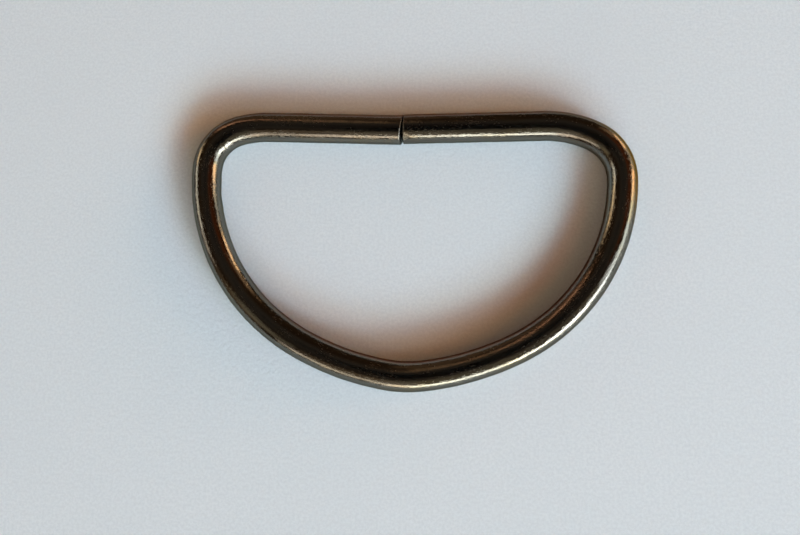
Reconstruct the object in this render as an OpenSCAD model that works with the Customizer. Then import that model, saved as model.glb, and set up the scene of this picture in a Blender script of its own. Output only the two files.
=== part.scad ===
// D ring bent from one length of round wire, with the open joint of its ends in the straight bar.
// It lies on its side. +X runs along the bar, +Y points from the bow to the bar and +Z points up.
// The origin is under the middle of its outer box, on the surface that it lies on.

/* [Ring] */
// Clear width inside the ring, which is the width of webbing that it takes
inner_w = 50; // [44:0.5:58]
// Clear height inside the ring, from the crown of the bow to the shoulders of the bar
inner_h = 28.6; // [26:0.1:33]

/* [Wire] */
// Diameter of the round wire
wire_d = 3.85; // [3:0.05:5]
// Inside radius of the two bends between the bar and the bow, before each one's own share
bend_r = 3.8; // [3:0.1:5]

/* [Joint] */
// How far the joint lies to the left of the middle of the ring
joint_offset = 1.2; // [-4:0.1:4]
// Gap between the two ends at the outer side of the bar, where they are closest
joint_gap = 0.08; // [0.05:0.01:0.5]
// Radius of the rounded rim of each cut end
rim_r = 0.2; // [0.1:0.05:0.6]

/* [Hidden] */
$fn = 96;

wire_r = wire_d / 2;
// Overall width and height of the middle line of the wire, and its mean radius in the bends
mid_w = inner_w + wire_d;
mid_h = inner_h + wire_d;
mid_bend_r = bend_r + wire_r;
// Radii of the middle line where the bar eases into a bend and where the bend leaves into the bow, as shares
// of the bends' mean radius, and at the crown of the bow, as a share of the overall width
EASE_SHARE = 2.3;
LEAVE_SHARE = 1.22;
CROWN_SHARE = 0.3;
ease_r = EASE_SHARE * mid_bend_r;
leave_r = LEAVE_SHARE * mid_bend_r;
crown_r = CROWN_SHARE * mid_w;

// Neighbouring pieces of wire fuse where the full one runs a lap into the next, whose radius is less by a hair
LAP = 0.1;
HAIR = 0.02;

// The two halves of the wire as they were bent, each from the joint to the crown of the bow.
// Columns: side (-1 left, 1 right), rise of the bar from the joint, turn of the ease, radius of the bend
// as a share of mid_bend_r, turn of the leave, and turns of the bow's side and shoulder. Turns are in
// degrees. The bend takes the rest of the turn to the widest point, and the crown takes what is left.
SIDE = 0;
RISE = 1;
EASE_TURN = 2;
BEND_SHARE = 3;
LEAVE_TURN = 4;
SIDE_TURN = 5;
SHOULDER_TURN = 6;
LEFT = [-1, 1.5, 18, 0.925, 17, 60, 21];
RIGHT = [1, 1.1, 28, 1.08, 4, 64, 18];

// Headings in degrees, turning left from +X: along the bar, down at the widest point, and at the crown
BACK = 180;
DOWN = 270;
AHEAD = 360;

// Both halves are worked out as the left one is, and the right one is mirrored into place.
function along(heading) = [cos(heading), sin(heading)];
// Move along an arc of radius r that turns left from one heading to another
function arc_move(r, from, to) = r * [sin(to) - sin(from), cos(from) - cos(to)];
// Point where arc number n starts, in a run of arcs
function arc_start(start, radii, headings, n) =
    n == 0
        ? start
        : arc_start(start, radii, headings, n - 1) + arc_move(radii[n - 1], headings[n - 1], headings[n]);

// Headings where the five arcs between the bar and the crown meet: ease, bend, leave, side and shoulder
function headings(half) = [
    BACK - half[RISE],
    BACK - half[RISE] + half[EASE_TURN],
    DOWN - half[LEAVE_TURN],
    DOWN,
    DOWN + half[SIDE_TURN],
    DOWN + half[SIDE_TURN] + half[SHOULDER_TURN],
];

// Radii of the ease, the bend and the leave, and the move along them from the bar to the widest point
function bend_radii(half) = [ease_r, half[BEND_SHARE] * mid_bend_r, leave_r];
function bend_move(half) = arc_start([0, 0], bend_radii(half), headings(half), 3);

// End of the straight bar. The ease after it rises to the highest point, and the leave ends at the widest.
function bar_end(half) = [
    -mid_w / 2 - bend_move(half)[0],
    mid_h / 2 - ease_r * (1 - cos(half[RISE])),
];

// The crown starts short of the lowest point, by what is left of the turn
function crown_start(half) = [0, -mid_h / 2] - arc_move(crown_r, headings(half)[5], AHEAD);

// Radii of the bow's side and shoulder, with which they run from the widest point to the crown's start
function bow_radii(half) =
    let (
        h = headings(half),
        run = crown_start(half) - bar_end(half) - bend_move(half),
        side = arc_move(1, h[3], h[4]),
        shoulder = arc_move(1, h[4], h[5]),
        cross = side[0] * shoulder[1] - side[1] * shoulder[0]
    )
    [
        (run[0] * shoulder[1] - run[1] * shoulder[0]) / cross,
        (side[0] * run[1] - side[1] * run[0]) / cross,
    ];
function radii(half) = concat(bend_radii(half), bow_radii(half));

// The ends are cut square, and both halves of the bar rise outwards, so the gap opens inwards.
mid_gap = joint_gap + wire_r * (tan(LEFT[RISE]) + tan(RIGHT[RISE]));
function cut_x(half) = half[SIDE] * joint_offset - mid_gap / 2;
function bar_length(half) = (cut_x(half) - bar_end(half)[0]) / cos(half[RISE]);

// Straight wire along +X from its cut end at the origin, whose rim is rounded
module straight_wire(length) {
    rotate([0, 90, 0])
        rotate_extrude()
            difference() {
                square([wire_r, length]);
                difference() {
                    translate([wire_r - rim_r, 0])
                        square(rim_r);
                    translate([wire_r - rim_r, rim_r])
                        circle(r = rim_r);
                }
            }
}

// Arc of wire whose middle line leaves start at a heading and turns left. A full one laps both neighbours.
module wire_arc(start, radius, heading, turn, full) {
    lap_turn = full ? LAP / radius * 180 / PI : 0;
    translate(start)
        rotate(heading)
            translate([0, radius])
                rotate(-90 - lap_turn)
                    rotate_extrude(angle = turn + 2 * lap_turn)
                        translate([radius, 0])
                            circle(r = full ? wire_r : wire_r - HAIR);
}

// Everything of one half but the crown: the bar, and then a slim arc and a full one by turns
module half_ring(half) {
    r = radii(half);
    h = headings(half);
    translate(bar_end(half) - bar_length(half) * along(h[0]))
        rotate(h[0])
            straight_wire(bar_length(half) + LAP);
    for (n = [0 : len(r) - 1])
        wire_arc(arc_start(bar_end(half), r, h, n), r[n], h[n], h[n + 1] - h[n], n % 2 == 1);
}

module crown() {
    from = headings(LEFT)[5];
    to = AHEAD + AHEAD - headings(RIGHT)[5];
    wire_arc(crown_start(LEFT), crown_r, from, to - from, true);
}

module ring() {
    color("dimgray")
        translate([0, 0, wire_r]) {
            half_ring(LEFT);
            mirror([1, 0, 0])
                half_ring(RIGHT);
            crown();
        }
}

ring();
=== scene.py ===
import math
from collections import namedtuple

import bpy
import numpy as np
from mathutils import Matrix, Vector


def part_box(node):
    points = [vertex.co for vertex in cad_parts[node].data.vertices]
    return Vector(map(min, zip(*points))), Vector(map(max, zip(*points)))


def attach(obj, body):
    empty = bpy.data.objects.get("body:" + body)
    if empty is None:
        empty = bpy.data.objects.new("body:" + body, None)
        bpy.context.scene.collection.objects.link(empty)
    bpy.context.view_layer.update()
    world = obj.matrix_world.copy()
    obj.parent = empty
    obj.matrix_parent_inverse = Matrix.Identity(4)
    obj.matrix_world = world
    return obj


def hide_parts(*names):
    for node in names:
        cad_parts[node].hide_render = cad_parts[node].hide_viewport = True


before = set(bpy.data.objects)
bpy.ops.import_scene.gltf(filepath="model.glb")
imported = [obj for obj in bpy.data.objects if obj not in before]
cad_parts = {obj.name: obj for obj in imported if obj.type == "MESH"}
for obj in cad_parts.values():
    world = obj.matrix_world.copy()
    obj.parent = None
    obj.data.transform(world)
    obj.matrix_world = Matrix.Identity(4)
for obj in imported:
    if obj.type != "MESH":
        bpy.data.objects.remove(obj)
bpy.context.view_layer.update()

# Lengths are in millimetres and angles in degrees, unless a comment says otherwise
MM = 0.001

# Wire and overall sizes, all from the frame
RING_LOW, RING_HIGH = (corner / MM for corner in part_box("ring"))
WIRE_D = RING_HIGH.z - RING_LOW.z
WIRE_R = WIRE_D / 2
MID_W = RING_HIGH.x - RING_LOW.x - WIRE_D
MID_H = RING_HIGH.y - RING_LOW.y - WIRE_D

# How the wire was bent, as in the frame's own model
BEND_R = 3.8
EASE_SHARE = 2.3
LEAVE_SHARE = 1.22
CROWN_SHARE = 0.3
MID_BEND_R = BEND_R + WIRE_R
EASE_R = EASE_SHARE * MID_BEND_R
LEAVE_R = LEAVE_SHARE * MID_BEND_R
CROWN_R = CROWN_SHARE * MID_W
JOINT_OFFSET = 1.2
JOINT_GAP = 0.08

# Halves of the ring: side, rise of the bar, turns of the arcs, and the bend's share of the mean radius
Half = namedtuple("Half", "side rise ease_turn bend_share leave_turn side_turn shoulder_turn")
LEFT = Half(-1, 1.5, 18, 0.925, 17, 60, 21)
RIGHT = Half(1, 1.1, 28, 1.08, 4, 64, 18)

# Headings, turning left from +X: along the bar, down at the widest point, and at the crown
BACK = 180
DOWN = 270
AHEAD = 360

# Radius of the rims of the cut ends, which are sharper than in the frame's own model
RIM_R = 0.1

# Mesh of the wire: its sides, its steps along plain and marked wire, and how it closes at its ends
SIDES = 112
STEP = 0.22
MARK_STEP = 0.07
RIM_STEPS = 6
CAP_SHARES = [0.25, 0.5, 0.75]

# Step of the middle line's points, and the length over which a change of its curvature is blended
FINE_STEP = 0.02
BLEND_LENGTH = 1.6


def along(heading):
    """Unit vector at a heading."""
    turn = math.radians(heading)
    return np.array([math.cos(turn), math.sin(turn)])


def arc_move(radius, start, end):
    """Move along an arc that turns left from one heading to another."""
    a = math.radians(start)
    b = math.radians(end)
    return radius * np.array([math.sin(b) - math.sin(a), math.cos(a) - math.cos(b)])


def bends(half):
    """End of the straight bar, and the radii and headings of the arcs from there to the crown of the bow."""
    shoulder_heading = DOWN + half.side_turn
    crown_heading = shoulder_heading + half.shoulder_turn
    headings = [
        BACK - half.rise,
        BACK - half.rise + half.ease_turn,
        DOWN - half.leave_turn,
        DOWN,
        shoulder_heading,
        crown_heading,
        AHEAD,
    ]
    radii = [EASE_R, half.bend_share * MID_BEND_R, LEAVE_R]
    bend_move = sum(arc_move(radius, headings[n], headings[n + 1]) for n, radius in enumerate(radii))
    ease_rise = EASE_R * (1 - math.cos(math.radians(half.rise)))
    bar_end = np.array([-MID_W / 2 - bend_move[0], MID_H / 2 - ease_rise])

    # The bow's side and shoulder get the radii with which they run from the widest point to the crown
    crown_start = np.array([0, -MID_H / 2]) - arc_move(CROWN_R, crown_heading, AHEAD)
    run = crown_start - bar_end - bend_move
    side = arc_move(1, DOWN, shoulder_heading)
    shoulder = arc_move(1, shoulder_heading, crown_heading)
    radii += list(np.linalg.solve(np.array([side, shoulder]).T, run)) + [CROWN_R]
    return bar_end, radii, headings


def half_line(half):
    """Points of the middle line from the joint to the crown of the bow, worked out as the left half is."""
    bar_end, radii, headings = bends(half)
    mid_gap = JOINT_GAP + WIRE_R * sum(math.tan(math.radians(each.rise)) for each in (LEFT, RIGHT))
    cut_x = half.side * JOINT_OFFSET - mid_gap / 2
    bar_length = (cut_x - bar_end[0]) / math.cos(math.radians(half.rise))
    points = [bar_end - bar_length * along(headings[0])]
    point = bar_end
    for n, radius in enumerate(radii):
        turn = headings[n + 1] - headings[n]
        count = max(2, math.ceil(math.radians(turn) * radius / FINE_STEP))
        for k in range(count):
            points.append(point + arc_move(radius, headings[n], headings[n] + turn * k / count))
        point = point + arc_move(radius, headings[n], headings[n + 1])
    points.append(point)
    return np.array(points)


def distances(points):
    """How far along a line of points each of them lies."""
    return np.r_[0, np.cumsum(np.linalg.norm(np.diff(points, axis=0), axis=1))]


def even(points, step):
    """Points at an even step along a line of points."""
    lengths = distances(points)
    places = np.linspace(0, lengths[-1], math.ceil(lengths[-1] / step) + 1)
    return np.column_stack([np.interp(places, lengths, points[:, axis]) for axis in (0, 1)])


def middle_line():
    """Fine points of the whole middle line, from the left end of the wire round to its right end. The changes
    of curvature between arcs are blended, because bent wire shows none in its reflections."""
    left = half_line(LEFT)
    right = half_line(RIGHT) * [-1, 1]
    line = even(np.concatenate([left, right[-2::-1]]), FINE_STEP)
    reach = round(BLEND_LENGTH / 2 / FINE_STEP)
    sums = np.cumsum(np.concatenate([[[0, 0]], line]), axis=0)
    blended = line.copy()
    count = len(line)
    for n in range(count):
        span = min(reach, n, count - 1 - n)
        blended[n] = (sums[n + span + 1] - sums[n - span]) / (2 * span + 1)
    return blended


LINE = middle_line()
LINE_LENGTHS = distances(LINE)
LINE_DIRECTIONS = np.gradient(LINE, axis=0)
LENGTH = LINE_LENGTHS[-1]

# Slight waves of bent wire: how high they are, their turn in radians per millimetre along the wire, how many
# radians they wander round it, and the radians with which they start
Wave = namedtuple("Wave", "height turn wander start")
LONG_WAVE = Wave(0.006, 0.9, 2, 0)
SHORT_WAVE = Wave(0.004, 2.3, 3, 1)

# How far the surface is drawn in, so that the waves stay inside round wire
DRAWN_IN = 0.01

# Marks of making and of wear. Each is strongest at a distance along the wire from its left end and at an
# angle round it, and fades out before and after both. An angle of 0 faces out of the ring, 90 up and 180 into
# it. A power under 1 lets the mark fade later along the wire.
Mark = namedtuple("Mark", "place before after turn turn_before turn_after power", defaults=[1])
RIDGE = Mark(24.6, 1.5, 0.4, 150, 60, 80)
DENT = Mark(32.5, 2, 1.6, 180, 70, 70)
CRUSH = Mark(LENGTH, 1.2, 1.2, 150, 65, 65)
BRUISE = Mark(RIDGE.place, 2.5, 1.5, 170, 60, 60)
SCUFF = Mark(106, 12, 10, 26, 60, 34)
WORN_THROUGH = Mark(113, 8, 9, 15, 70, 60)

# Painted reflection of the shadowed paper near the wire, outside both halves of the bar and inside the bow
SHADOW_REFLECTIONS = [
    Mark(0, 28, 28, 20, 70, 54, 0.3),
    Mark(LENGTH, 28, 28, 20, 70, 54, 0.3),
    Mark(80, 36, 30, 180, 62, 80, 0.5),
]

# How high or deep the marks are, and how worn the bruise is
RIDGE_HEIGHT = 0.08
DENT_DEPTH = 0.06
CRUSH_DEPTH = 0.09
BRUISE_WEAR = 0.6

# How many times over the painted shadow reflection and the brass are laid on, so that their middles are full
COATS = 2

# How far the wear of the ends reaches, in radii of their rims
RAW_REACH = 1.5

# How far the cutter moved each end along the bar, and what it added to that at the outer side and at the top
Cut = namedtuple("Cut", "shift outward upward")
LEFT_CUT = Cut(0.16, 0.23, -0.16)
RIGHT_CUT = Cut(0.15, 0.09, 0.0)
CUT_REACH = 1.5

# How far before and after the ridge the mesh has closer steps
RIDGE_BEFORE = 1.8
RIDGE_AFTER = 1.2


def near(value, centre, before, after):
    """A smooth swell: 1 at the centre, and nothing beyond a distance before it and another after it."""
    reach = np.where(value < centre, before, after)
    return np.cos(np.clip((value - centre) / reach, -1, 1) * math.pi / 2) ** 2


def strength(mark, places, angles):
    """How strong a mark is, from 0 to 1, at places along the wire and angles round it, in radians."""
    turns = np.degrees(angles)
    lengthwise = near(places, mark.place, mark.before, mark.after) ** mark.power
    across = near(turns, mark.turn, mark.turn_before, mark.turn_after)
    across = across + near(turns, mark.turn + 360, mark.turn_before, mark.turn_after)
    return lengthwise * across


def wave_height(wave, places, lean):
    """Height of a wave at places along the wire. Its crests lean there by a share of how far they wander."""
    return wave.height * np.sin(wave.turn * places + wave.wander * lean + wave.start)


def relief(places, angles):
    """How far the surface stands off round wire: the waves, the ridge and the dent that the bending tool left
    inside the left bend, and the end on the right, which the cutter crushed."""
    waves = wave_height(LONG_WAVE, places, np.cos(angles)) + wave_height(SHORT_WAVE, places, np.sin(angles))
    ridge = RIDGE_HEIGHT * strength(RIDGE, places, angles)
    dent = -DENT_DEPTH * strength(DENT, places, angles)
    crush = -CRUSH_DEPTH * strength(CRUSH, places, angles)
    return waves - DRAWN_IN + ridge + dent + crush


def wear(places, angles):
    """How worn the surface is, from 0 to 1: scuffed outside the right bend, bruised at the ridge, and raw at
    the ends."""
    from_end = np.minimum(places, LENGTH - places)
    scuffed = strength(SCUFF, places, angles)
    bruised = BRUISE_WEAR * strength(BRUISE, places, angles)
    crushed = strength(CRUSH, places, angles)
    raw = np.clip(RAW_REACH - from_end / RIM_R, 0, 1)
    return np.clip(scuffed + bruised + crushed + raw, 0, 1)


def shadow_reflection(places, angles):
    """How much painted reflection of shadowed paper darkens and reddens the plate, from 0 to 1: along the
    outer side of the bar and inside the bow.
    """
    return np.clip(COATS * sum(strength(stain, places, angles) for stain in SHADOW_REFLECTIONS), 0, 1)


def brass(places, angles):
    """How far the plate has worn through to brass, from 0 to 1: outside the right bend."""
    return np.clip(COATS * strength(WORN_THROUGH, places, angles), 0, 1)


def stations():
    """Distances along the wire of the rings of vertices, closer together at the marks, and their radii, which
    are less in the rims and in the caps of the ends."""
    angles = np.radians(np.linspace(0, 90, RIM_STEPS + 1))
    rim = RIM_R * (1 - np.cos(angles))
    rim_radii = WIRE_R - RIM_R * (1 - np.sin(angles))
    cap_radii = (WIRE_R - RIM_R) * np.array(CAP_SHARES)
    cap_places = np.zeros(len(cap_radii))

    ridge_start = RIDGE.place - RIDGE_BEFORE
    ridge_end = RIDGE.place + RIDGE_AFTER
    bounds = [RIM_R, CUT_REACH, ridge_start, ridge_end, LENGTH - CUT_REACH, LENGTH - RIM_R]
    plain = []
    for start, end, step in zip(bounds, bounds[1:], [MARK_STEP, STEP, MARK_STEP, STEP, MARK_STEP]):
        count = math.ceil((end - start) / step)
        plain.append(np.linspace(start, end, count + 1)[1:])
    plain = np.concatenate(plain)[:-1]
    places = np.concatenate([cap_places, rim, plain, LENGTH - rim[::-1], LENGTH - cap_places])
    plain_radii = np.full(len(plain), WIRE_R)
    return places, np.concatenate([cap_radii, rim_radii, plain_radii, rim_radii[::-1], cap_radii[::-1]])


def on_wire(places, angles, radii):
    """Points on the bent wire, at distances along it, angles round it in radians and radii."""
    middle = [np.interp(places, LINE_LENGTHS, LINE[:, axis]) for axis in (0, 1)]
    tangent = np.array([np.interp(places, LINE_LENGTHS, LINE_DIRECTIONS[:, axis]) for axis in (0, 1)])
    tangent /= np.linalg.norm(tangent, axis=0)
    outward = radii * np.cos(angles)
    x = middle[0] + tangent[1] * outward
    y = middle[1] - tangent[0] * outward
    z = WIRE_R + radii * np.sin(angles)
    return np.stack([x, y, z], axis=-1)


def wire_points(places, angles, radii):
    """Points of the rings of vertices and of the ends' middles, and where each was before the bending."""
    share = radii / WIRE_R
    radii = radii + relief(places, angles) * share
    points = on_wire(places, angles, radii)
    for cut, end in ((LEFT_CUT, 0), (RIGHT_CUT, LENGTH)):
        askew = cut.shift + (cut.outward * np.cos(angles) + cut.upward * np.sin(angles)) * share
        points[..., 0] += askew * near(places, end, CUT_REACH, CUT_REACH)
    straight = np.broadcast_to(places, radii.shape)
    unbent = np.stack([straight, radii * np.cos(angles), radii * np.sin(angles)], axis=-1)

    middles = on_wire(places[[0, -1], 0], np.zeros(2), np.zeros(2))
    middles[:, 0] += [LEFT_CUT.shift, RIGHT_CUT.shift]
    points = np.concatenate([points.reshape(-1, 3), middles])
    return points, np.concatenate([unbent.reshape(-1, 3), [[0, 0, 0], [LENGTH, 0, 0]]])


def wire_faces(ring_count):
    """Quads between the rings of vertices, and triangles round the middle of each end."""
    faces = []
    for ring_start in range(0, (ring_count - 1) * SIDES, SIDES):
        for side in range(SIDES):
            a = ring_start + side
            b = ring_start + (side + 1) % SIDES
            faces.append((a, a + SIDES, b + SIDES, b))
    last_ring = (ring_count - 1) * SIDES
    first_middle = ring_count * SIDES
    last_middle = first_middle + 1
    for side in range(SIDES):
        after = (side + 1) % SIDES
        faces.append((side, after, first_middle))
        faces.append((last_ring + after, last_ring + side, last_middle))
    return faces


def new_mesh(name, points, faces):
    """A mesh in metres from points in millimetres."""
    mesh = bpy.data.meshes.new(name)
    mesh.from_pydata((points * MM).tolist(), [], faces)
    return mesh


def new_object(name, data):
    """An object in the scene, with its mesh, light or camera."""
    item = bpy.data.objects.new(name, data)
    bpy.context.scene.collection.objects.link(item)
    return item


def wire_mesh():
    """The whole wire as one closed mesh, which keeps how worn and how brassy each vertex is, and how much
    painted shadow reflection it has.
    """
    places, radii = stations()
    places = places[:, None]
    angles = np.linspace(0, 2 * math.pi, SIDES, endpoint=False)[None, :]
    points, unbent = wire_points(places, angles, radii[:, None])
    mesh = new_mesh("ring_wire", points, wire_faces(len(places)))
    mesh.shade_smooth()
    attribute = mesh.attributes.new("unbent", "FLOAT_VECTOR", "POINT")
    attribute.data.foreach_set("vector", unbent.astype(np.float32).ravel())
    # One of the kept amounts is a painted reflection of shadowed paper near the wire
    for name, how_much in (("wear", wear), ("shadow_reflection", shadow_reflection), ("brass", brass)):
        amounts = how_much(places, angles)
        attribute = mesh.attributes.new(name, "FLOAT", "POINT")
        attribute.data.foreach_set("value", np.append(amounts, amounts[[0, -1], 0]).astype(np.float32))
    mesh.update()
    return mesh


def new_material(name, settings):
    """A material with plain settings of its shader."""
    material = bpy.data.materials.new(name)
    material.use_nodes = True
    shader = material.node_tree.nodes["Principled BSDF"]
    for setting, value in settings.items():
        shader.inputs[setting].default_value = value
    return material


def add(tree, kind, **settings):
    """Adds a shader node and sets its plain settings."""
    node = tree.nodes.new(kind)
    for name, value in settings.items():
        setattr(node, name, value)
    return node


def link(tree, source, target):
    """Joins the output of a node to the input of another."""
    tree.links.new(source, target)


def kept(tree, name, output="Fac"):
    """What the mesh keeps under a name."""
    return add(tree, "ShaderNodeAttribute", attribute_name=name).outputs[output]


def scaled(tree, place, scales):
    """A place with each of its axes scaled."""
    node = add(tree, "ShaderNodeVectorMath", operation="MULTIPLY")
    node.inputs[1].default_value = scales
    link(tree, place, node.inputs[0])
    return node.outputs["Vector"]


def noise(tree, place, pattern):
    """Noise from 0 to 1, with the features of a pattern, at a place in millimetres."""
    node = add(tree, "ShaderNodeTexNoise")
    node.inputs["Scale"].default_value = 1.0
    node.inputs["Detail"].default_value = pattern.detail
    node.inputs["Roughness"].default_value = pattern.roughness
    place = scaled(tree, place, (pattern.lengthwise, pattern.across, pattern.across))
    link(tree, place, node.inputs["Vector"])
    return node.outputs["Fac"]


def remap(tree, value, low, high, to_low=0.0, to_high=1.0):
    """Turns low to high into to_low to to_high, and holds it there beyond."""
    node = add(tree, "ShaderNodeMapRange", clamp=True)
    link(tree, value, node.inputs["Value"])
    for name, number in zip(("From Min", "From Max", "To Min", "To Max"), (low, high, to_low, to_high)):
        node.inputs[name].default_value = number
    return node.outputs["Result"]


def amount(tree, value, pattern):
    """How much of a pattern its noise stands for."""
    return remap(tree, value, pattern.low, pattern.high, pattern.least, pattern.most)


def combined(tree, operation, first, second):
    """Math of a socket with another socket or a number."""
    node = add(tree, "ShaderNodeMath", operation=operation)
    link(tree, first, node.inputs[0])
    if isinstance(second, float):
        node.inputs[1].default_value = second
    else:
        link(tree, second, node.inputs[1])
    return node.outputs["Value"]


def product(tree, first, second):
    """A socket times another socket or a number."""
    return combined(tree, "MULTIPLY", first, second)


def total(tree, first, second):
    """A socket plus another socket or a number."""
    return combined(tree, "ADD", first, second)


def mixed_colour(tree, share, first, second):
    """Mix of two colours, each a socket or red, green and blue."""
    node = add(tree, "ShaderNodeMix", data_type="RGBA")
    link(tree, share, node.inputs["Factor"])
    for target, value in zip((node.inputs["A"], node.inputs["B"]), (first, second)):
        if isinstance(value, tuple):
            target.default_value = (*value, 1)
        else:
            link(tree, value, target)
    return node.outputs["Result"]


def bumped(tree, height, distance, normal=None):
    """Normal of a surface whose height of 1 stands distance millimetres proud."""
    node = add(tree, "ShaderNodeBump")
    node.inputs["Distance"].default_value = distance * MM
    link(tree, height, node.inputs["Height"])
    if normal:
        link(tree, normal, node.inputs["Normal"])
    return node.outputs["Normal"]


# Colours of the metal seen straight on
PLATE_COLOUR = (0.19, 0.186, 0.158)
THIN_PLATE_COLOUR = (0.212, 0.19, 0.135)
STREAK_COLOUR = (0.11, 0.1, 0.092)
# Painted reflection of shadowed paper, seen straight on
SHADOW_REFLECTION_COLOUR = (0.195, 0.124, 0.095)
BRASS_COLOUR = (0.245, 0.17, 0.08)

# Colours of the metal seen at a slant, towards the edges of the wire
PLATE_SHEEN = (0.42, 0.43, 0.4)
# Painted reflection of shadowed paper, seen at a slant
SHADOW_REFLECTION_SHEEN = (0.35, 0.29, 0.27)
BRASS_SHEEN = (0.47, 0.34, 0.16)

# Patterns of noise: how many features a millimetre holds, lengthwise and across, how many finer layers lie on
# them and how strong these are, the noise at which a pattern starts and is full, and the amounts that these
# two stand for
Pattern = namedtuple(
    "Pattern", "lengthwise across detail roughness low high least most", defaults=[0.0, 1.0, 0.0, 1.0]
)

# Patterns along the wire
THIN_PATCHES = Pattern(0.25, 0.6, 3, 0.5, 0.5, 0.72)
STREAKS = Pattern(0.06, 2.4, 3, 0.5, 0.42, 0.6, 0.0, 0.5)
GRAIN = Pattern(1.6, 4.0, 3, 0.65, 0.3, 0.7, 0.05, 0.11)
PITS = Pattern(2.4, 5.5, 2, 0.5, 0.5, 0.64)
PITTED_PATCHES = Pattern(0.3, 0.8, 2, 0.5, 0.42, 0.62, 0.45, 1.0)
SCRATCHES = Pattern(1.2, 2.0, 4, 0.7, 0.4, 0.6)
DRAWN_LINES = Pattern(0.15, 3.0, 3, 0.5)

# How much rougher pits and scuffs are than the polish
PIT_ROUGHNESS = 0.26
SCUFF_ROUGHNESS = 0.3

# How high or deep the relief is that is too fine for the mesh
DRAWN_LINE_HEIGHT = 0.012
GRAIN_HEIGHT = 0.015
PIT_DEPTH = 0.005
SCUFF_DEPTH = 0.03


def metal_colours(tree, unbent):
    """Colours of the plate seen straight on and at a slant: brassy where it is thin, dark in streaks, darker
    and redder where a reflection of shadowed paper is painted on, and brass where it is worn through."""
    # Where a reflection of shadowed paper is painted on the plate
    shadow_reflected = kept(tree, "shadow_reflection")
    bare = kept(tree, "brass")
    thin = amount(tree, noise(tree, unbent, THIN_PATCHES), THIN_PATCHES)
    streaky = amount(tree, noise(tree, unbent, STREAKS), STREAKS)
    colour = mixed_colour(tree, thin, PLATE_COLOUR, THIN_PLATE_COLOUR)
    colour = mixed_colour(tree, streaky, colour, STREAK_COLOUR)
    # Painted reflection of shadowed paper near the wire
    colour = mixed_colour(tree, shadow_reflected, colour, SHADOW_REFLECTION_COLOUR)
    colour = mixed_colour(tree, bare, colour, BRASS_COLOUR)
    # The painted reflection of shadowed paper also tints the plate at a slant
    sheen = mixed_colour(tree, shadow_reflected, PLATE_SHEEN, SHADOW_REFLECTION_SHEEN)
    return colour, mixed_colour(tree, bare, sheen, BRASS_SHEEN)


def plate_material():
    """Dark nickel plate, polished, with fine grain along the wire, patches of pits, and dull scuffs."""
    material = new_material("dark_nickel_plate", {"Metallic": 1.0})
    tree = material.node_tree
    shader = tree.nodes["Principled BSDF"]
    unbent = kept(tree, "unbent", "Vector")
    colour, sheen = metal_colours(tree, unbent)
    link(tree, colour, shader.inputs["Base Color"])
    link(tree, sheen, shader.inputs["Specular Tint"])

    grain = noise(tree, unbent, GRAIN)
    pits = amount(tree, noise(tree, unbent, PITS), PITS)
    pits = product(tree, pits, amount(tree, noise(tree, unbent, PITTED_PATCHES), PITTED_PATCHES))
    scratches = amount(tree, noise(tree, unbent, SCRATCHES), SCRATCHES)
    scuffed = product(tree, kept(tree, "wear"), scratches)
    roughness = total(tree, amount(tree, grain, GRAIN), product(tree, pits, PIT_ROUGHNESS))
    roughness = total(tree, roughness, product(tree, scuffed, SCUFF_ROUGHNESS))
    link(tree, roughness, shader.inputs["Roughness"])

    normal = bumped(tree, noise(tree, unbent, DRAWN_LINES), DRAWN_LINE_HEIGHT)
    normal = bumped(tree, grain, GRAIN_HEIGHT, normal)
    normal = bumped(tree, product(tree, pits, -1.0), PIT_DEPTH, normal)
    normal = bumped(tree, product(tree, scuffed, -1.0), SCUFF_DEPTH, normal)
    link(tree, normal, shader.inputs["Normal"])
    return material


def ring():
    """The plated wire, which stands for the frame's solid."""
    piece = new_object("ring_wire", wire_mesh())
    piece.data.materials.append(plate_material())
    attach(piece, "root")
    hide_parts("ring")


# The paper, the screen behind it, and how far out painted shade starts to darken the paper towards its edge
FLOOR_R = 240
EVEN_R = 90
BACKDROP_HEIGHT = 900
BACKDROP_SIDES = 96

# Colours of the paper in its dimmer and paler clouds and in its fibres, of the painted shade at its edge, and
# of the screen
DIM_PAPER = (0.76, 0.785, 0.8)
PALE_PAPER = (0.81, 0.82, 0.825)
FIBRE_COLOUR = (0.725, 0.742, 0.755)
# Painted shade at the paper's edge, where the panes light it more
PAINTED_EDGE_SHADE = (0.66, 0.67, 0.67)
SCREEN_COLOUR = (0.68, 0.7, 0.73)

# Patterns of the paper, where plain paper lies between the fibres, and how high its grain is
CLOUDS = Pattern(0.05, 0.05, 2, 0.5)
PLAIN_PAPER = Pattern(2.8, 2.8, 3, 0.65, 0.38, 0.62)
PAPER_GRAIN = Pattern(1.6, 1.6, 4, 0.6)
PAPER_GRAIN_HEIGHT = 0.06


def circle(radius, sides):
    """Points of a level circle round the origin."""
    angles = np.linspace(0, 2 * math.pi, sides, endpoint=False)
    return np.column_stack([radius * np.cos(angles), radius * np.sin(angles), np.zeros(sides)])


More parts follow.
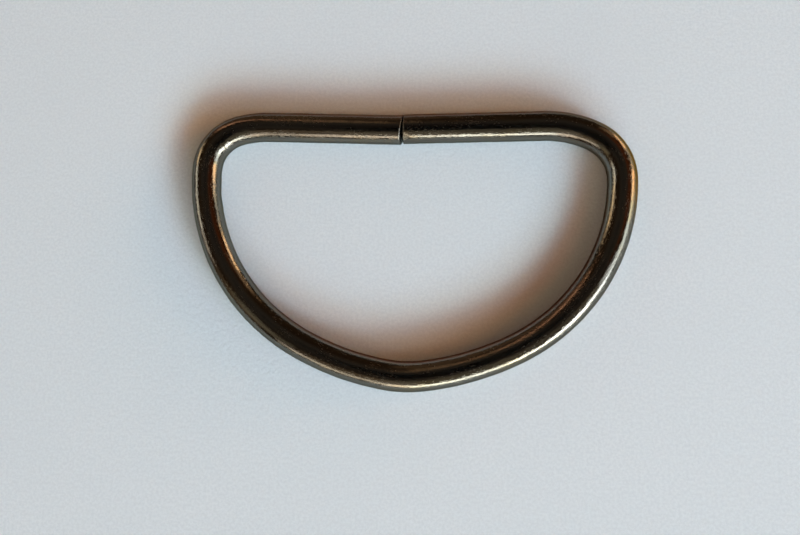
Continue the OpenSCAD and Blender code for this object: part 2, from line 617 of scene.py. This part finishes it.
def paper_material():
    """White paper with faint clouds, fibres and grain, and painted shade that darkens it towards its edge."""
    material = new_material("white_paper", {"Roughness": 0.9, "Specular IOR Level": 0.1})
    tree = material.node_tree
    shader = tree.nodes["Principled BSDF"]
    place = add(tree, "ShaderNodeTexCoord").outputs["Object"]
    place = scaled(tree, place, (1 / MM, 1 / MM, 1 / MM))
    colour = mixed_colour(tree, noise(tree, place, CLOUDS), DIM_PAPER, PALE_PAPER)
    plain = amount(tree, noise(tree, place, PLAIN_PAPER), PLAIN_PAPER)
    colour = mixed_colour(tree, plain, FIBRE_COLOUR, colour)
    far = add(tree, "ShaderNodeVectorMath", operation="LENGTH")
    link(tree, place, far.inputs[0])
    # Painted shade: darker towards the paper's edge, where the panes light it more
    colour = mixed_colour(tree, remap(tree, far.outputs["Value"], EVEN_R, FLOOR_R), colour, PAINTED_EDGE_SHADE)
    link(tree, colour, shader.inputs["Base Color"])
    link(tree, bumped(tree, noise(tree, place, PAPER_GRAIN), PAPER_GRAIN_HEIGHT), shader.inputs["Normal"])
    return material


def screen_material():
    """A pale glow that the light in the room doesn't change."""
    settings = {
        "Base Color": (0, 0, 0, 1),
        "Specular IOR Level": 0,
        "Emission Color": (*SCREEN_COLOUR, 1),
        "Emission Strength": 1,
    }
    return new_material("pale_screen", settings)


def floor():
    """White paper that the ring lies on."""
    mesh = new_mesh("paper", circle(FLOOR_R, BACKDROP_SIDES), [tuple(range(BACKDROP_SIDES))])
    paper = new_object("paper", mesh)
    mesh.materials.append(paper_material())


def backdrop():
    """A pale screen behind the paper that shows in low views only."""
    low = circle(FLOOR_R, BACKDROP_SIDES)
    high = low + [0, 0, BACKDROP_HEIGHT]
    faces = []
    for side in range(BACKDROP_SIDES):
        after = (side + 1) % BACKDROP_SIDES
        faces.append((side, after, after + BACKDROP_SIDES, side + BACKDROP_SIDES))
    mesh = new_mesh("backdrop", np.concatenate([low, high]), faces)
    screen = new_object("backdrop", mesh)
    mesh.materials.append(screen_material())
    screen.visible_glossy = False
    screen.visible_diffuse = False
    screen.visible_transmission = False
    screen.visible_shadow = False


# Colours of the light in the room
WINDOW = (1.0, 1.0, 0.94)
CLOUD = (0.95, 0.97, 1.0)
SHADE = (0.87, 0.94, 1.0)
IVORY = (1.0, 0.93, 0.83)
CREAM = (1.0, 0.9, 0.66)
BEIGE = (1.0, 0.86, 0.72)
TAN = (1.0, 0.73, 0.47)
ORANGE = (1.0, 0.62, 0.36)
RUST = (1.0, 0.5, 0.3)
RED = (1.0, 0.15, 0.0)
DAYLIGHT = (0.5, 0.76, 1.0)
SKYLIGHT = (0.63, 0.86, 1.0)
LEAF_LIGHT = (0.76, 1.0, 0.83)
LAMPLIGHT = (1.0, 0.46, 0.15)
HONEY = (1.0, 0.8, 0.43)
MINT = (0.9, 1.0, 0.85)

# Lit panes that stand round the ring, between two compass angles from +X towards +Y and two height angles
Pane = namedtuple("Pane", "name start end low high colour strength")
PANE_DISTANCE = 1500

# Watts that a square metre of a pane gives off at a strength of 1
PANE_POWER = 4

# What the wire reflects: the windows, the blinds over them, the lamps, and the walls and furniture behind
REFLECTED = [
    Pane("window_left", -91, -62, 1, 17, WINDOW, 5.4),
    Pane("window_middle", -62, -46, 2, 14, WINDOW, 10),
    Pane("window_sky", -46, -28, 7, 20, CLOUD, 14),
    Pane("window_sill", -46, -28, 1, 8, WINDOW, 5),
    Pane("window_right", -28, -17, 7, 27, SHADE, 7),
    Pane("window_edge", -17, -8, 8, 28, SHADE, 3.6),
    Pane("window_frame", -8, 3, 5, 27, SHADE, 2.6),
    Pane("blind_side", -160, -136, 20, 48, CREAM, 0.2),
    Pane("blind_far_left", -130, -106, 22, 48, TAN, 0.2),
    Pane("blind_left", -106, -91, 20, 44, BEIGE, 0.25),
    Pane("blind_middle", -91, -60, 18, 42, CREAM, 0.2),
    Pane("blind_high", -106, -60, 44, 58, CREAM, 0.14),
    Pane("blind_right", -60, -17, 26, 54, CREAM, 0.15),
    Pane("blind_edge", -17, -7, 28, 46, CLOUD, 1),
    Pane("lamp_pale", 3, 11, 2, 23, CREAM, 2.7),
    Pane("lamp", 11, 21, 1, 26, ORANGE, 4.2),
    Pane("lamp_soft", 21, 28, 2, 18, BEIGE, 1.5),
    Pane("lamp_gap", 28, 39, 2, 14, IVORY, 0.9),
    Pane("lamp_far", 39, 51, 0.5, 16, ORANGE, 3.8),
    Pane("lamp_end", 51, 60, 10, 34, ORANGE, 0.4),
    Pane("curtain", 5, 55, 27, 58, RED, 0.08),
    Pane("door", 98, 107, 34, 57, ORANGE, 0.24),
    Pane("rail_1", 107, 112, 42, 50, RUST, 0.8),
    Pane("rail_2", 112, 118, 35, 43, RUST, 1),
    Pane("rail_3", 118, 125, 29, 37, RUST, 1.3),
    Pane("rail_4", 125, 133, 24, 31, RUST, 1.1),
    Pane("back", 91, 124, 0.5, 28, ORANGE, 0.1),
    Pane("back_side", 124, 135, 0.5, 30, RUST, 0.17),
    Pane("shelf", 144, 150, 3, 19, TAN, 1.4),
    Pane("wall_warm", 150, 160, 7, 25, TAN, 2.1),
    Pane("wall", 160, 180, 12, 27, IVORY, 1.9),
    Pane("wall_end", 180, 188, 7, 28, BEIGE, 1),
    Pane("wall_dim", 188, 216, 2, 34, TAN, 0.1),
    Pane("wall_far_left", -136, -104, 9, 24, BEIGE, 1.6),
    Pane("wall_left", -104, -91, 4, 20, BEIGE, 3.1),
]

# What lights the paper: soft daylight from the windows' side and warm light from the rest of the room
PAPER_LIGHT = [
    Pane("key_far_left", -96, -80, 8, 34, LEAF_LIGHT, 3.2),
    Pane("key_left", -80, -64, 16, 28, DAYLIGHT, 16),
    Pane("key_low", -64, -40, 16, 23, DAYLIGHT, 19.5),
    Pane("key_high", -64, -52, 23, 30, LEAF_LIGHT, 13.5),
    Pane("key_high_right", -52, -40, 23, 30, SKYLIGHT, 36),
    Pane("key_top", -52, -40, 30, 38, SKYLIGHT, 11),
    Pane("key_right", -40, -28, 17, 30, DAYLIGHT, 10.5),
    Pane("key_far_right", -28, -14, 23, 38, DAYLIGHT, 6.5),
    Pane("key_side", -14, 4, 16, 32, LEAF_LIGHT, 3.4),
    Pane("glow_left", -90, -56, 30, 48, RED, 0.9),
    Pane("glow_right", -40, 4, 36, 54, RED, 1.1),
    Pane("glow_high", 220, 320, 50, 70, HONEY, 0.5),
    Pane("glow_lamp", 6, 24, 0.5, 26, LAMPLIGHT, 5.9),
    Pane("glow_lamp_far", 34, 51, 2, 17, LAMPLIGHT, 4.6),
    Pane("glow_back", 140, 220, 30, 60, RUST, 0.4),
    Pane("wall_glow_left", -136, -104, 9, 24, SHADE, 2.5),
    Pane("wall_glow_back", 120, 180, 6, 30, MINT, 0.72),
]


def pane_light(pane, seen):
    """A lit pane that faces the ring. One that is seen shows in the wire, and one that isn't lights the
    paper."""
    half_turn = math.radians(pane.end - pane.start) / 2
    half_rise = math.radians(pane.high - pane.low) / 2
    compass = math.radians(pane.start) + half_turn
    height = math.radians(pane.low) + half_rise
    level = math.cos(height)
    outward = Vector((level * math.cos(compass), level * math.sin(compass), math.sin(height)))
    light = bpy.data.lights.new(pane.name, "AREA")
    light.shape = "RECTANGLE"
    light.size = 2 * PANE_DISTANCE * math.tan(half_turn) * level * MM
    light.size_y = 2 * PANE_DISTANCE * math.tan(half_rise) * MM
    light.color = pane.colour
    light.energy = PANE_POWER * light.size * light.size_y * pane.strength
    lamp = new_object(pane.name, light)
    lamp.location = outward * PANE_DISTANCE * MM
    lamp.rotation_euler = outward.to_track_quat("Z", "Y").to_euler()
    lamp.visible_glossy = seen
    lamp.visible_diffuse = not seen
    lamp.visible_camera = False


# Colours of the room by the sine of the height angle. Below the first and above the last it doesn't change.
ROOM = [
    (0.7, (0.05, 0.026, 0.013)),
    (0.85, (0.058, 0.041, 0.03)),
    (0.94, (0.07, 0.055, 0.045)),
    (0.985, (0.035, 0.027, 0.023)),
]


def room():
    """Dim warm room round the lit panes, which shows in the wire and doesn't light the paper."""
    world = bpy.data.worlds.new("room")
    world.use_nodes = True
    tree = world.node_tree
    direction = add(tree, "ShaderNodeTexCoord").outputs["Generated"]
    parts = add(tree, "ShaderNodeSeparateXYZ")
    link(tree, direction, parts.inputs["Vector"])
    ramp = add(tree, "ShaderNodeValToRGB")
    steps = ramp.color_ramp.elements
    while len(steps) < len(ROOM):
        steps.new(1.0)
    for step, (sine, colour) in zip(steps, ROOM):
        step.position = sine
        step.color = (*colour, 1)
    link(tree, parts.outputs["Z"], ramp.inputs["Fac"])
    link(tree, ramp.outputs["Color"], tree.nodes["Background"].inputs["Color"])
    world.cycles_visibility.diffuse = False
    bpy.context.scene.world = world


# The camera looks down at the ring from the side of the bow
CAMERA_PLACE = (7.135, -19.83, 101.62)
CAMERA_TURN = (9.942, 4.469, 1.311)
CAMERA_LENS = 36
SENSOR_WIDTH = 36
NEAREST_SEEN = 5
FARTHEST_SEEN = 20000

# The dark round of the camera, and how far above its lens it lies
CAMERA_BODY_R = 34
CAMERA_BODY_SIDES = 32
CAMERA_BODY_GAP = 1
CAMERA_BODY_COLOUR = (0.038, 0.034, 0.032)


def camera():
    """The camera, placed and turned as the one that took the picture."""
    data = bpy.data.cameras.new("camera")
    data.sensor_width = SENSOR_WIDTH
    data.lens = CAMERA_LENS
    data.clip_start = NEAREST_SEEN * MM
    data.clip_end = FARTHEST_SEEN * MM
    seen_from = new_object("camera", data)
    seen_from.location = [value * MM for value in CAMERA_PLACE]
    seen_from.rotation_euler = [math.radians(value) for value in CAMERA_TURN]
    bpy.context.scene.camera = seen_from


def camera_body():
    """The dark round of the camera, which the top of the wire reflects. It shows nowhere else."""
    corners = circle(CAMERA_BODY_R, CAMERA_BODY_SIDES)
    mesh = new_mesh("camera_body", corners, [tuple(range(CAMERA_BODY_SIDES))])
    body = new_object("camera_body", mesh)
    x, y, z = CAMERA_PLACE
    body.location = (x * MM, y * MM, (z + CAMERA_BODY_GAP) * MM)
    settings = {"Base Color": (*CAMERA_BODY_COLOUR, 1), "Roughness": 1, "Specular IOR Level": 0}
    mesh.materials.append(new_material("dark", settings))
    body.visible_camera = False
    body.visible_diffuse = False
    body.visible_shadow = False


camera()
camera_body()
ring()
floor()
backdrop()
for each in REFLECTED:
    pane_light(each, True)
for each in PAPER_LIGHT:
    pane_light(each, False)
room()
bpy.context.scene.view_settings.view_transform = "Standard"
